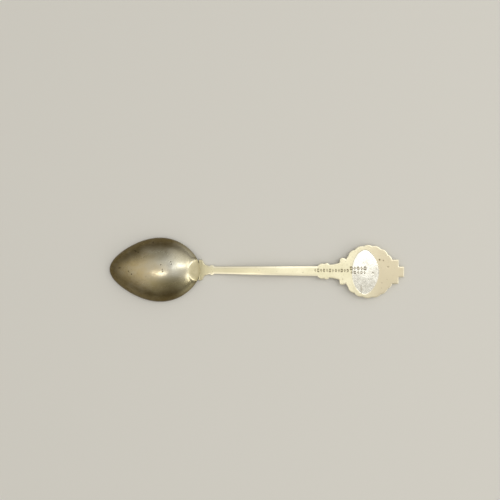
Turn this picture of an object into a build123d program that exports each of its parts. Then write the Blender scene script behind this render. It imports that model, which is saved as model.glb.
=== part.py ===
from build123d import *
import os
from math import cos, pi, radians, sin

# Souvenir teaspoon with an enamelled badge on its finial, lying face down, in millimetres.
# +X runs from the tip of the bowl to the crown of the finial and +Z is the back of the spoon.
# The origin is at the bottom centre: the bowl's rim and the clear dome of the badge lie on Z = 0.

# Whole spoon
overall_length = 115.0
crown_x = overall_length / 2

# Bowl: an egg-shaped dome pressed from sheet, its rim rising towards the heel
bowl_depth = 6.8
bowl_wall = 0.7
bowl_tilt = 2
egg_half_length = 17.77
egg_half_width = 11.9
egg_lean = 1.04  # moves the widest place towards the tip
egg_fullness = 0.05  # fills out the half near the heel
egg_points_out = 0.62  # draws the tip and the heel out to soft points
egg_points = 24
apex_reach = 20.0  # from the tip to the top of the dome
dome_power = 2.3
dome_rise = 0.75
dome_shares = (1.0, 0.985, 0.95, 0.88, 0.77, 0.62, 0.42, 0.2, 0.04)
heel_x = 2 * egg_half_length - overall_length / 2

# Lap joint: the flat heel of the bowl lies on a tongue of the handle, brazed between them
lap_slope = 37
lap_top = 2.05  # height of the lap's outer face at the heel
lap_half_width = 3.3
lap_length = 4.6
notch_half_width = 3.0
notch_length = 3.9
notch_depth = 4.0
braze_thickness = 0.1
tongue_thickness = 1.0
tongue_half_width = 2.7
tongue_length = 3.5
tongue_root = 0.9  # how far the tongue runs on into the shoulder
root_half_width = 2.55

# Shoulder, stem and the two beads below the finial
shoulder_x = -22.1
shoulder_back = 1.03
shoulder_front = 0.1
stem_low = (-16.4, 1.45)
stem_high = (23.9, 2.0)
stem_foot_x = -19.5
stem_head_x = 24.0
stem_edge = 0.25  # bevel along the back of the stem
arch_x = 3.0
arch_start = 0.1  # slope of the stem where it leaves the shoulder
arch_back = 3.4  # height of the stem's back at the top of its arch
arch_thickness = 1.4
rib_half_width = 0.75
rib_height = 0.3
rib_corner = 0.7
rib_start_x = -14.5
rib_end_x = 22.5

# Finial: a scalloped disc with two ears at its foot and a stepped crown at its head
finial_back = 2.45
plate_thickness = 1.3
finial_front = finial_back - plate_thickness
disc_x = 43.7
disc_radius = 10.1
lobe_reach = 10.45
lobe_radius = 3.75
lobe_step = 20
lobe_angles = [side * (32 + lobe_step * number) for side in (1, -1) for number in range(6)]
crown_foot_x = 48.0
crown_step_x = 55.4
crown_step_half_width = 4.75
crown_top_half_width = 2.1
crown_corner = 0.3
pearl_radius = 0.6
pearl_ring = 9.3
pearl_sink = 0.1  # how far a pearl's centre lies inside the disc
dish_depth = 0.12  # shallow oval dish in the finial's back, behind the badge
dish_half_height = 5.25
dish_half_width = 8.6

# Plain punch marks on the back, where the stem runs into the finial
punch_depth = 0.15
punch_count = 12
punch_pitch = 1.1
punch_row_x = 29.1
punch_half_height = 0.45
stamp_x = 39.0
stamp_size = (2.6, 2.2)
stamp_border = 0.3

# Badge: an oval enamelled picture in a bezel on the front of the finial
badge_x = 42.5
seat_half_height = 5.3
seat_half_width = 8.3
seat_depth = 0.4
bezel_width = 0.55
bezel_height = 0.35
solder_thickness = 0.1
badge_clearance = 0.05
badge_floor = 0.45
cell_depth = 0.45
rim_width = 0.35
cell_wall = 0.25
dome_inset = 0.1
dome_edge = 0.5
seat_top = finial_front + seat_depth
badge_back = seat_top - solder_thickness
cell_top = badge_back - badge_floor
badge_front = cell_top - cell_depth
badge_half_height = seat_half_height - badge_clearance
badge_half_width = seat_half_width - badge_clearance
beyond = 12.0  # further out across than any edge of the spoon's handle
beyond_x = 60.0

# Picture, with its own X up and its own Y to the right: hills behind a bay, a sun and a sail
horizon = -0.7
ridge = ((0.5, -beyond), (2.3, -3.6), (0.7, 0.2), (1.5, 3.2), (0.2, beyond))
sun_place = (2.75, 3.3)
sun_radius = 1.0
sail_place = (-2.6, -2.0)
sail_radius = 1.1

# Blank ribbon above the badge
ribbon_radius = 7.45
ribbon_half_width = 1.0
ribbon_half_angle = 46
ribbon_height = 0.35
ribbon_border = 0.3
ribbon_enamel_depth = 0.2
ribbon_front = finial_front - ribbon_height

badge_plane = Plane(origin=(badge_x, 0, 0))
disc_plane = Plane(origin=(disc_x, 0, 0))
tilt = radians(bowl_tilt)
bowl_plane = Plane(
    origin=(-overall_length / 2, 0, 0),
    x_dir=(cos(tilt), 0, sin(tilt)),
    z_dir=(-sin(tilt), 0, cos(tilt)),
)
slope = radians(lap_slope)
lap_plane = Plane(
    origin=(heel_x, 0, lap_top),
    x_dir=(-cos(slope), 0, sin(slope)),
    z_dir=(sin(slope), 0, cos(slope)),
)
side_plane = Plane(origin=(0, 0, 0), x_dir=(1, 0, 0), z_dir=(0, -1, 0))


def egg_outline(share, inset):
    """Points round the bowl's egg outline, drawn in by inset and shrunk to share of its size."""
    length_share = share * (egg_half_length - inset) / egg_half_length
    width_share = share * (egg_half_width - inset) / egg_half_width
    points = []
    for number in range(egg_points):
        turn = 2 * pi * number / egg_points
        x = egg_half_length * (1 + cos(turn)) + egg_lean * (1 - cos(2 * turn))
        y = egg_half_width * sin(turn) + egg_fullness * sin(2 * turn) - egg_points_out * sin(3 * turn)
        points.append((apex_reach + length_share * (x - apex_reach), width_share * y))
    return points


def dome(inset):
    """The bowl's dome as a solid, drawn in by inset at its rim and its top."""
    with BuildPart() as solid:
        for share in dome_shares:
            height = (bowl_depth - inset) * (1 - share**dome_power) ** dome_rise
            with BuildSketch(bowl_plane.offset(height)):
                with BuildLine():
                    Spline(*egg_outline(share, inset), periodic=True)
                make_face()
        loft()
    return solid.part


def lap_outline(plane, half_width, length):
    """The lap joint's outline: a bulging heel edge, sides that close in and a rounded end."""
    heel_corner = (0.2 * half_width, half_width)
    end_corner = (0.73 * length, 0.67 * half_width)
    with BuildSketch(plane) as outline:
        with BuildLine():
            ThreePointArc((heel_corner[0], -heel_corner[1]), (0, 0), heel_corner)
            Line(heel_corner, end_corner)
            ThreePointArc(end_corner, (length, 0), (end_corner[0], -end_corner[1]))
            Line((end_corner[0], -end_corner[1]), (heel_corner[0], -heel_corner[1]))
        make_face()
    return outline.sketch


ribbon_arc = CenterArc((0, 0), ribbon_radius, -ribbon_half_angle, 2 * ribbon_half_angle)


def ribbon_shape(height, half_width):
    """The ribbon's curved outline at a height, with round ends."""
    with BuildSketch(disc_plane.offset(height)) as shape:
        SlotArc(ribbon_arc, 2 * half_width)
    return shape.sketch


# The bowl: a shell with a flat lap at its heel, notched under the lap for the handle's tongue
outer_dome = dome(0)
inner_dome = dome(bowl_wall)
with BuildPart() as bowl:
    add(outer_dome)
    add(inner_dome, mode=Mode.SUBTRACT)
    extrude(lap_outline(lap_plane, lap_half_width, lap_length), amount=-bowl_wall)
    with BuildSketch(lap_plane.offset(-bowl_wall)):
        with Locations((notch_length / 2 - tongue_root, 0)):
            Rectangle(notch_length + 2 * tongue_root, 2 * notch_half_width)
    extrude(amount=-notch_depth, mode=Mode.SUBTRACT)

# The braze between the bowl's lap and the handle's tongue
with BuildPart() as bowl_braze:
    braze_plane = lap_plane.offset(-bowl_wall)
    extrude(lap_outline(braze_plane, tongue_half_width, tongue_length), amount=-braze_thickness)


def side_profile(drop):
    """The handle's thickness seen from the side, lowered by drop."""
    back_low = (stem_foot_x, shoulder_back - drop)
    back_arch = (arch_x, arch_back - drop)
    back_high = (stem_head_x, finial_back - drop)
    front_low = (stem_foot_x, shoulder_front - drop)
    front_arch = (arch_x, arch_back - arch_thickness - drop)
    front_high = (stem_head_x, finial_front - drop)
    with BuildSketch(side_plane) as profile:
        with BuildLine():
            Spline(back_low, back_arch, back_high, tangents=((1, arch_start), (1, 0)))
            Polyline(back_high, (beyond_x, back_high[1]), (beyond_x, front_high[1]), front_high)
            Spline(front_high, front_arch, front_low, tangents=((-1, 0), (-1, -arch_start)))
            Polyline(front_low, (-beyond_x, front_low[1]), (-beyond_x, back_low[1]), back_low)
        make_face()
    return profile.sketch


# The rib along the front of the stem
with BuildPart() as rib:
    with BuildSketch():
        with Locations(((rib_start_x + rib_end_x) / 2, 0)):
            RectangleRounded(rib_end_x - rib_start_x, 2 * rib_half_width, rib_corner)
    extrude(amount=bowl_depth)
    extrude(side_profile(rib_height), amount=beyond, both=True, mode=Mode.INTERSECT)

# The handle: tongue, shoulder, stem and finial, struck as one piece
with BuildPart() as handle:
    with BuildSketch():
        with BuildLine():
            Line((shoulder_x, 0), (shoulder_x, 2.6))
            Line((shoulder_x, 2.6), (-22.65, 3.8))
            ThreePointArc((-22.65, 3.8), (-21.85, 4.11), (-20.85, 3.45))
            ThreePointArc((-20.85, 3.45), (-20.45, 2.6), (-19.5, 2.1))
            Line((-19.5, 2.1), (-18.5, 1.9))
            ThreePointArc((-18.5, 1.9), (-17.35, 2.15), stem_low)
            Line(stem_low, stem_high)
            ThreePointArc(stem_high, (25.2, 2.95), (26.5, 2.85))
            ThreePointArc((26.5, 2.85), (27.4, 3.25), (28.3, 2.6))
            ThreePointArc((28.3, 2.6), (30.4, 2.85), (32.4, 3.4))
            ThreePointArc((32.4, 3.4), (33.3, 5.28), (34.8, 4.75))
            Line((34.8, 4.75), (38.0, 4.75))
            Line((38.0, 4.75), (38.0, 0))
            mirror(about=Plane.XZ)
        make_face()
        with Locations((disc_x, 0)):
            Circle(disc_radius)
            for angle in lobe_angles:
                with PolarLocations(lobe_reach - lobe_radius, 1, start_angle=angle):
                    Circle(lobe_radius)
        step_length = crown_step_x - crown_foot_x
        top_length = crown_x - crown_foot_x
        with Locations((crown_foot_x + step_length / 2, 0)):
            RectangleRounded(step_length, 2 * crown_step_half_width, crown_corner)
        with Locations((crown_foot_x + top_length / 2, 0)):
            RectangleRounded(top_length, 2 * crown_top_half_width, crown_corner)
    extrude(amount=bowl_depth)
    extrude(side_profile(0), amount=beyond, both=True, mode=Mode.INTERSECT)
    long_edges = handle.edges().filter_by(lambda edge: edge.length > 30)
    chamfer(long_edges.group_by(Axis.Z)[-1], stem_edge)
    add(rib.part)

    # Tongue under the bowl's lap
    tongue_plane = lap_plane.offset(-bowl_wall - braze_thickness)
    extrude(lap_outline(tongue_plane, tongue_half_width, tongue_length), amount=-tongue_thickness)
    with BuildSketch(tongue_plane):
        Rectangle(2 * tongue_root, 2 * root_half_width)
    extrude(amount=-tongue_thickness)

    # Dish and punch marks in the back
    with BuildSketch(badge_plane.offset(finial_back)):
        Ellipse(dish_half_height, dish_half_width)
    extrude(amount=-dish_depth, mode=Mode.SUBTRACT)
    with BuildSketch(Plane.XY.offset(finial_back - punch_depth)):
        with Locations((punch_row_x, 0)):
            with GridLocations(punch_pitch, 1, punch_count, 1):
                RegularPolygon(punch_half_height, 4)
        with Locations((stamp_x, 0)):
            Rectangle(*stamp_size)
            inner_size = [side - 2 * stamp_border for side in stamp_size]
            Rectangle(*inner_size, mode=Mode.SUBTRACT)
    extrude(amount=1, mode=Mode.SUBTRACT)

    # Bezel and seat of the badge on the front
    with BuildSketch(badge_plane.offset(finial_front)):
        Ellipse(seat_half_height + bezel_width, seat_half_width + bezel_width)
    extrude(amount=-bezel_height)
    with BuildSketch(badge_plane.offset(seat_top)):
        Ellipse(seat_half_height, seat_half_width)
    extrude(amount=-seat_depth - bezel_height, mode=Mode.SUBTRACT)

    # Ribbon above the badge, with a recess for its enamel
    extrude(ribbon_shape(finial_front, ribbon_half_width), amount=-ribbon_height)
    ribbon_recess = ribbon_shape(ribbon_front, ribbon_half_width - ribbon_border)
    extrude(ribbon_recess, amount=ribbon_enamel_depth, mode=Mode.SUBTRACT)

    # A pearl on each lobe that the ribbon leaves free
    for angle in lobe_angles:
        if abs(angle) > ribbon_half_angle + 5:
            with Locations(disc_plane.offset(finial_front + pearl_sink)):
                with PolarLocations(pearl_ring, 1, start_angle=angle):
                    Sphere(pearl_radius, rotation=(90, 0, 0))

# Enamel in the ribbon
with BuildPart() as ribbon_enamel:
    extrude(ribbon_recess, amount=ribbon_enamel_depth)


def picture_oval():
    """The badge's oval inside its rim, on the sketch that is open."""
    Ellipse(badge_half_height - rim_width, badge_half_width - rim_width)


def below_ridge(shift, floor):
    """Keep only what lies between a floor height and the ridge moved up by shift."""
    points = [(height + shift, across) for height, across in ridge]
    with BuildLine() as edge:
        Spline(*points)
        Polyline(points[-1], (floor, beyond), (floor, -beyond), points[0])
    make_face(edge.edges(), mode=Mode.INTERSECT)


front_plane = badge_plane.offset(badge_front)
with BuildPart() as enamel_sun:
    with BuildSketch(front_plane):
        with Locations(sun_place):
            Circle(sun_radius)
    extrude(amount=cell_depth)

with BuildPart() as enamel_sail:
    with BuildSketch(front_plane):
        with Locations(sail_place):
            RegularPolygon(sail_radius, 3)
    extrude(amount=cell_depth)

with BuildPart() as enamel_sky:
    with BuildSketch(front_plane):
        picture_oval()
        below_ridge(cell_wall / 2, beyond)
        with Locations(sun_place):
            Circle(sun_radius + cell_wall, mode=Mode.SUBTRACT)
    extrude(amount=cell_depth)

with BuildPart() as enamel_hills:
    with BuildSketch(front_plane):
        picture_oval()
        below_ridge(-cell_wall / 2, horizon + cell_wall / 2)
    extrude(amount=cell_depth)

with BuildPart() as enamel_sea:
    with BuildSketch(front_plane):
        picture_oval()
        with Locations((horizon - cell_wall / 2 - beyond / 2, 0)):
            Rectangle(beyond, 2 * beyond, mode=Mode.INTERSECT)
        with Locations(sail_place):
            RegularPolygon(sail_radius + 2 * cell_wall, 3, mode=Mode.SUBTRACT)
    extrude(amount=cell_depth)

# The badge's metal plate, with a cell for each enamel colour, and its solder
with BuildPart() as badge_plate:
    with BuildSketch(front_plane):
        Ellipse(badge_half_height, badge_half_width)
    extrude(amount=cell_depth + badge_floor)
    for enamel in (enamel_sky, enamel_hills, enamel_sea, enamel_sun, enamel_sail):
        add(enamel.part, mode=Mode.SUBTRACT)

with BuildPart() as badge_solder:
    with BuildSketch(badge_plane.offset(badge_back)):
        Ellipse(badge_half_height, badge_half_width)
    extrude(amount=solder_thickness)

# The clear resin dome over the picture
with BuildPart() as badge_dome:
    with BuildSketch(front_plane):
        Ellipse(badge_half_height - dome_inset, badge_half_width - dome_inset)
    extrude(amount=-badge_front)
    fillet(badge_dome.faces().sort_by(Axis.Z)[0].edges(), dome_edge)

pieces = {
    "bowl": bowl,
    "bowl_braze": bowl_braze,
    "handle": handle,
    "ribbon_enamel": ribbon_enamel,
    "badge_solder": badge_solder,
    "badge_plate": badge_plate,
    "enamel_sky": enamel_sky,
    "enamel_hills": enamel_hills,
    "enamel_sea": enamel_sea,
    "enamel_sun": enamel_sun,
    "enamel_sail": enamel_sail,
    "badge_dome": badge_dome,
}
os.makedirs("parts", exist_ok=True)
for name, piece in pieces.items():
    piece.part.label = name
    export_step(piece.part, f"parts/{name}.step")
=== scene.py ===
import math

import bpy
import numpy as np
from mathutils import Matrix, Vector, geometry
from mathutils.bvhtree import BVHTree
from mathutils.kdtree import KDTree


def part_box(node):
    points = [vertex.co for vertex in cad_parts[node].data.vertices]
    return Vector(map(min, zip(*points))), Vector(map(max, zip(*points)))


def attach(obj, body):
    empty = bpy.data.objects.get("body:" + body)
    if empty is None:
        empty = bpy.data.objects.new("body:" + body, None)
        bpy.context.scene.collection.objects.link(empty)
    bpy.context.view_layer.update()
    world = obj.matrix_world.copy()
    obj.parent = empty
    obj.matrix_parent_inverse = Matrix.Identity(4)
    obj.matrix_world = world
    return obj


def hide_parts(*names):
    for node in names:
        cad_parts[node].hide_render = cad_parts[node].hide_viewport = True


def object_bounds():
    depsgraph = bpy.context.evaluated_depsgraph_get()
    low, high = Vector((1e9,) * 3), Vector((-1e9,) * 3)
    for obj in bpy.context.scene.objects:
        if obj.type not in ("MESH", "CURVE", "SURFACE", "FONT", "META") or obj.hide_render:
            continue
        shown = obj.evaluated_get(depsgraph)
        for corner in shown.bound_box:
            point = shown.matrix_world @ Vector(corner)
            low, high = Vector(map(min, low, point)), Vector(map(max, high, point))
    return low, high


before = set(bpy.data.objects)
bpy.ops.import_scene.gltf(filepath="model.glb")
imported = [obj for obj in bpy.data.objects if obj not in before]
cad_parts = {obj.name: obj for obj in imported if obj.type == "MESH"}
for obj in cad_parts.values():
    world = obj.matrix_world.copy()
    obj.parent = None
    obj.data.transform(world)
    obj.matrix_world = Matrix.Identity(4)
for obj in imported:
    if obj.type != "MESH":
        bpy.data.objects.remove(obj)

# Souvenir spoon lying face down. Shapes are worked out in millimetres, in the row frame, and
# become metres when they are made into meshes. "Back" is the side that faces up. A pair such as
# (-26.4, -25.2) is where something starts and where it is complete.

cad_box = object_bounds()
BODY = "root"
MM = 0.001

# Bowl: an egg outline seen from above, a dome over it and a flat lap pressed over the tongue
TIP_X = cad_box[0].x / MM
EGG_HALF_LENGTH = 17.77
EGG_HALF_WIDTH = 11.9
EGG_LEAN = 1.04
EGG_FULLNESS = 0.05
EGG_POINTS = 0.62
EGG_HEEL = 1.2
EGG_HEEL_POWER = 8
APEX_REACH = 20.0
BOWL_DEPTH = 6.8
BOWL_WALL = 0.7
BOWL_TILT = math.radians(2)
DOME_FOURTH = 0.2
DOME_POWER = 0.75
LIP_HEIGHT = 0.25
LIP_STEPS = 8
HEEL_X = TIP_X + 2 * EGG_HALF_LENGTH
LAP_SLOPE = math.radians(37)
LAP_TOP = 2.05
LAP_FLAT = (-26.8, -22.8), (0.5, 3.3)  # two places along the spoon, and the half widths there
LAP_FADE = (-26.8, -22.8), (1.8, 5.0)
LAP_RAISED = (-26.4, -25.2)
LAP_PRESSED = (-26.9, -25.9)
FACET_SHOWN = (-26.8, -25.0)
FACET_SPREAD = 0.6
RIM_POINTS = 600
OUTER_RINGS, OUTER_CLOSENESS = 88, 1.3
INNER_RINGS, INNER_CLOSENESS = 64, 1.2

# Handle seen from above. Each row of the path is a line's end, or a point on an arc and its end.
STEM_LOW = (-16.4, 1.45)
STEM_HIGH = (23.9, 2.0)
EAR_END = (34.8, 4.75)
TONGUE_END = (-25.35, 0)
HALF_PATH = (
    ((-25.0, 1.3), (-24.3, 1.9)),  # tongue
    ((-22.3, 2.6),),
    ((-22.65, 3.8),),  # shoulder
    ((-21.85, 4.11), (-20.85, 3.45)),
    ((-20.45, 2.6), (-19.4, 1.9)),
    ((-18.25, 1.6),),
    ((-17.35, 2.0), STEM_LOW),  # foot of the stem
    (STEM_HIGH,),
    ((25.2, 2.95), (26.5, 2.85)),  # knop
    ((27.4, 3.25), (28.3, 2.6)),
    ((30.4, 2.85), (32.4, 3.4)),  # neck
    ((32.5, 4.4),),  # ear
    ((32.85, 5.12), (33.6, 5.28)),
    ((34.25, 5.15), EAR_END),
)
DISC_X = 43.7
DISC_RADIUS = 10.0
DISC_POINTS = 420
LOBE_REACH = 10.45
LOBE_RADIUS = 3.0
LOBE_FIRST = 32
LOBE_STEP = 20
LOBE_ANGLES = np.radians([LOBE_FIRST + LOBE_STEP * step for step in range(6)])
LOBE_ANGLES = np.concatenate([LOBE_ANGLES, -LOBE_ANGLES])
CROWN_STEP = (55.4, 4.75)
CROWN_TOP = (57.5, 2.1)
CROWN_CORNER = 0.3

# Handle seen from the side
SHOULDER_BACK = 1.03
SHOULDER_FRONT = 0.1
TONGUE_DROP = 1.0
TONGUE_THICKNESS = 1.25
STEM_FOOT_X = -19.5
STEM_HEAD_X = 24.0
STEM_SAMPLES = 80
STEM_CURVE_POWER = 7
BESIDE_RIB_Y = 1.25
FINIAL_BACK = 2.45
FINIAL_FRONT = 1.15
LOWEST_FRONT = 0.03

# Edges of the handle: values on the shoulder and finial, and what the stem adds to them
STEM_STARTS = (-19.5, -17.0)
STEM_ENDS = (23.0, 25.5)
BEVEL_WIDTH, STEM_BEVEL_WIDTH = 0.38, 0.4
BEVEL_DEPTH, STEM_BEVEL_DEPTH = 0.06, -0.015
BACK_EDGE_RADIUS = 0.1
FRONT_EDGE_RADIUS = 0.15
# Reach of the painted highlight along the edges, and how much wider it is on the stem
BRIGHT_EDGE, STEM_BRIGHT_EDGE = (0.1, 0.45), 0.3

# Marks in the handle's back. Punches are (first x, step, y, half width, half height, count).
STEM_PUNCHES = (22.9, 1.15, 0.3, 0.38, 0.62, 12)
UPPER_PUNCHES = (36.9, 1.35, 1.2, 0.5, 0.68, 5)
LOWER_PUNCHES = (37.1, 1.25, -0.45, 0.42, 0.52, 5)
PUNCH_KINDS = ("lozenge", "square", "lozenge", "ring")
PUNCH_STROKE_REACH = 0.74
PUNCH_STROKE = (0.16, 0.34)
PUNCH_DEPTH = 0.09
SCORE_X = 40.9
SCORE_WIDTH = (0.06, 0.2)
SCORE_STARTS = (-8.9, -8.5)
SCORE_ENDS = (-5.7, -5.3)
SCORE_SHARE = 0.8
WEAR_DEPTH = 0.07
WOBBLE_DEPTH, WOBBLE_LENGTH = 0.008, 9

# Pits in the handle's back as (x, y, radius)
PITS = (
    (47.9, 4.6, 0.45),
    (49.4, 4.3, 0.34),
    (51.2, 1.85, 0.34),
    (45.4, -0.6, 0.36),
    (18.1, -0.6, 0.22),
    (48.9, -4.4, 0.2),
)

# Dish in the finial's back
DISH = (5.35, 8.75)
DISH_Y = -0.2
DISH_LEFT_POWER = 2.0
DISH_RIGHT_POWER = 1.65
DISH_FLOOR_SHARE = 0.98
DISH_EDGE = 0.035
DISH_HOLLOW = 0.02

# Badge on the finial's front
BADGE_X = 42.5
SEAT = (5.3, 8.3)
SEAT_TOP = 1.55
SEAT_EDGE = (1.0, 1.006)
SEAT_OUTER_LOOP = 1.008
BEZEL_EDGE = (0.985, 1.0)
BEZEL_WIDTH = 0.55
BEZEL_HEIGHT = 0.35
RIBBON_RADIUS = 7.45
RIBBON_HALF_WIDTH = 1.0
RIBBON_HALF_ANGLE = math.radians(46)
RIBBON_HEIGHT = 0.35
RIBBON_BORDER = 0.3
RIBBON_DEPTH = 0.2
RIBBON_EDGE = 0.06

# Relief on the front. A ridge is (distance of its middle line, half width, height).
RAY_COUNT, RAY_HEIGHT = 48, 0.05
RAY_ENDS = (9.6, 9.9)
RAY_STARTS = (0.4, 0.8)
RIM_RIDGE = (0.45, 0.32, 0.24)
PEARL_CIRCLE = 9.3
PEARL, PEARL_COLLAR = (0.0, 0.6, 0.5), (0.78, 0.16, 0.16)
PEARL_CLEARANCE = 0.09
BAR_X, BAR_STEP, BAR_RIDGE = 53.0, 0.8, (0.4, 0.3, 0.2)
BAR_INSET, BAR_LEAD = 0.75, 0.1
EAR_BEAD_X, EAR_BEAD_Y = 33.7, 4.1
EAR_BEAD, EAR_COLLAR = (0.0, 0.6, 0.36), (0.85, 0.2, 0.14)
LEAF_X, LEAF_Y, LEAF_STEP, LEAF_COUNT = 30.2, 0.15, 1.35, 4
LEAF_ANGLE = 0.6
LEAF_MIDDLE, LEAF_HALF_LENGTH, LEAF_HALF_WIDTH, LEAF_HEIGHT = 1.1, 1.15, 0.42, 0.3
LEAF_INSET = 0.5
VEIN_HALF_WIDTH, VEIN_DEPTH = 0.08, 0.4
FINIAL_RELIEF_X = 29
KNOP_BEADS = ((24.6, 0.45, 0.18), (26.1, 0.8, 0.3), (27.7, 0.5, 0.22))
RIB_STARTS = (-15.5, -14.5)
RIB_ENDS = (22.0, 23.0)
RIB_RIDGE, RIB_BEAD_STEP, RIB_NECK = (0.0, 0.62, 0.3), 1.15, 0.72
RAIL_RIDGE = (0.42, 0.3, 0.2)
FLUTE_FAN_X, FLUTE_COUNT, FLUTE_HEIGHT = -15.5, 26, 0.09
FLUTES_START = (-22.0, -21.5)
FLUTES_END = (-16.6, -17.4)
FLUTE_INSET = (0.2, 0.5)
SUNK_RELIEF = (0.02, 0.16)
SUNK_INSET = (0.1, 0.5)

# Mesh of the handle: rows of points along its edge, and grids as (low, high, step)
BACK_ROWS = (0.035, 0.1, 0.22, 0.38, 0.6, 0.78)
FRONT_ROWS = (0.05, 0.15, 0.28, 0.42, 0.56, 0.7)
ROW_CLEARANCE = 0.85
BACK_GAP, FRONT_GAP = 0.86, 0.78
LOOP_POINTS = 260
STEM_BOX = (-26, -5), (24, 5)
FINIAL_BOX = (24, -11), (58, 11)
PUNCH_BOX = (22.3, -1.3), (43.2, 2.1)
SEAM_BOX = (-23.4, -4.3), (-21.0, 4.3)
BACK_BOXES = ((*STEM_BOX, 0.3), (*SEAM_BOX, 0.12), (*FINIAL_BOX, 0.2), (*PUNCH_BOX, 0.085))
FRONT_BOXES = ((*STEM_BOX, 0.17), (*FINIAL_BOX, 0.145))


# ---- numbers


def ease(low, high, value):
    """0 below low, 1 above high and a smooth step between them."""
    share = np.clip((value - low) / (high - low), 0, 1)
    return share * share * (3 - 2 * share)


def bump(distance, reach):
    """A round ridge: 1 at distance 0, falling to 0 at reach."""
    return np.sqrt(np.clip(1 - (distance / reach) ** 2, 0, 1))


def ridge(distance, shape):
    """Height of a round ridge of shape (distance of its middle line, half width, height)."""
    middle, half_width, height = shape
    return height * bump(distance - middle, half_width)


def highest(*heights):
    """The highest of several heights at each place."""
    return np.maximum.reduce(heights)


def wobble(x, y, scale):
    """Smooth, repeatable waves between about -1 and 1, scale millimetres long."""
    total = 0
    for number in range(1, 5):
        angle = 2.1 + number * 1.7
        along = (x * math.cos(angle) + y * math.sin(angle)) * 2 * math.pi / scale
        total = total + np.sin(along * (0.6 + 0.27 * number) + number)
    return total / 3


def hex_grid(low, high, step):
    """Points of a triangular grid over a rectangle."""
    rows = []
    for index, y in enumerate(np.arange(low[1], high[1], step * math.sqrt(0.75))):
        x = np.arange(low[0] + (index % 2) * step / 2, high[0], step)
        rows.append(np.column_stack([x, np.full(len(x), y)]))
    return np.vstack(rows)


def turns(count):
    """Angles once round a circle."""
    return np.linspace(0, 2 * math.pi, count, endpoint=False)


def circle(angles):
    """Points of a unit circle."""
    return np.column_stack([np.cos(angles), np.sin(angles)])


def ellipse(centre_x, half_size):
    """Points round an ellipse."""
    return [centre_x, 0] + circle(turns(LOOP_POINTS)) * half_size


def line(start, end, step=0.2):
    """Points on a straight line, from start up to but not at end."""
    count = max(1, round(math.dist(start, end) / step))
    share = (np.arange(count) / count)[:, None]
    return start + share * np.subtract(end, start)


def arc(start, middle, end, step=0.1):
    """Points on the circle through three points, from start up to but not at end."""
    (ax, ay), (bx, by), (cx, cy) = start, middle, end
    size = 2 * (ax * (by - cy) + bx * (cy - ay) + cx * (ay - by))
    squares = [px * px + py * py for px, py in (start, middle, end)]
    x = (squares[0] * (by - cy) + squares[1] * (cy - ay) + squares[2] * (ay - by)) / size
    y = (squares[0] * (cx - bx) + squares[1] * (ax - cx) + squares[2] * (bx - ax)) / size
    radius = math.hypot(ax - x, ay - y)
    first, half, last = (math.atan2(py - y, px - x) for px, py in (start, middle, end))
    sweep = (last - first) % (2 * math.pi)
    if (half - first) % (2 * math.pi) > sweep:
        sweep -= 2 * math.pi
    count = max(3, round(abs(sweep) * radius / step))
    return [x, y] + radius * circle(first + sweep * np.arange(count) / count)


def follow(start, path):
    """Points along a path of lines, (end,), and arcs, (point on the way, end)."""
    rows = []
    for *way, end in path:
        rows.append(arc(start, *way, end) if way else line(start, end))
        start = end
    return np.vstack(rows)


def inside(points, loop):
    """Which points lie inside a closed loop."""
    x, y = points.T
    result = np.zeros(len(points), bool)
    for (ax, ay), (bx, by) in zip(loop, np.roll(loop, -1, 0)):
        if ay != by:
            result ^= ((ay > y) != (by > y)) & (x < (bx - ax) * (y - ay) / (by - ay) + ax)
    return result


def edge_distance(points, loop):
    """How far each point is from a closed loop."""
    samples = []
    for start, end in zip(loop, np.roll(loop, -1, 0)):
        samples.append(line(start, end, 0.02))
    samples = np.vstack(samples)
    tree = KDTree(len(samples))
    for index, (x, y) in enumerate(samples):
        tree.insert((x, y, 0), index)
    tree.balance()
    return np.array([tree.find((x, y, 0))[2] for x, y in points])


# ---- meshes


def triangulate(outline, points, loops=()):
    """Fills an outline. Returns the corners, the triangles and which corners are the outline's."""
    corners = np.vstack([outline, *loops, points])
    edges = []
    first = len(outline)
    for loop in loops:
        edges += [(first + i, first + (i + 1) % len(loop)) for i in range(len(loop))]
        first += len(loop)
    result = geometry.delaunay_2d_cdt(
        [Vector(corner) for corner in corners], edges, [list(range(len(outline)))], 1, 1e-6
    )
    found = np.array([vert[:] for vert in result[0]])
    order = np.full(len(corners), -1)
    for index, sources in enumerate(result[3]):
        for source in sources:
            order[source] = index
    triangles = np.array(result[2])
    a, b, c = (found[triangles[:, i]] for i in range(3))
    area = (b[:, 0] - a[:, 0]) * (c[:, 1] - a[:, 1]) - (b[:, 1] - a[:, 1]) * (c[:, 0] - a[:, 0])
    triangles[area < 0] = triangles[area < 0][:, ::-1]
    return found, triangles, order[: len(outline)]


def make_piece(name, corners, faces, material, values, node):
    """A smooth mesh that replaces a node, from corners in millimetres, with painted values."""
    mesh = bpy.data.meshes.new(name)
    mesh.from_pydata((np.asarray(corners) * MM).tolist(), [], [list(face) for face in faces])
    mesh.shade_smooth()
    for label, numbers in values.items():
        layer = mesh.attributes.new(label, "FLOAT", "POINT")
        layer.data.foreach_set("value", np.asarray(numbers, np.float32))
    piece = bpy.data.objects.new(name, mesh)
    bpy.context.scene.collection.objects.link(piece)
    mesh.materials.append(material)
    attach(piece, BODY)
    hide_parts(node)


def strip(first, second):
    """Faces between two rings of corners with the same count."""
    return np.column_stack([second, np.roll(second, -1), np.roll(first, -1), first]).tolist()


# ---- materials

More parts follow.
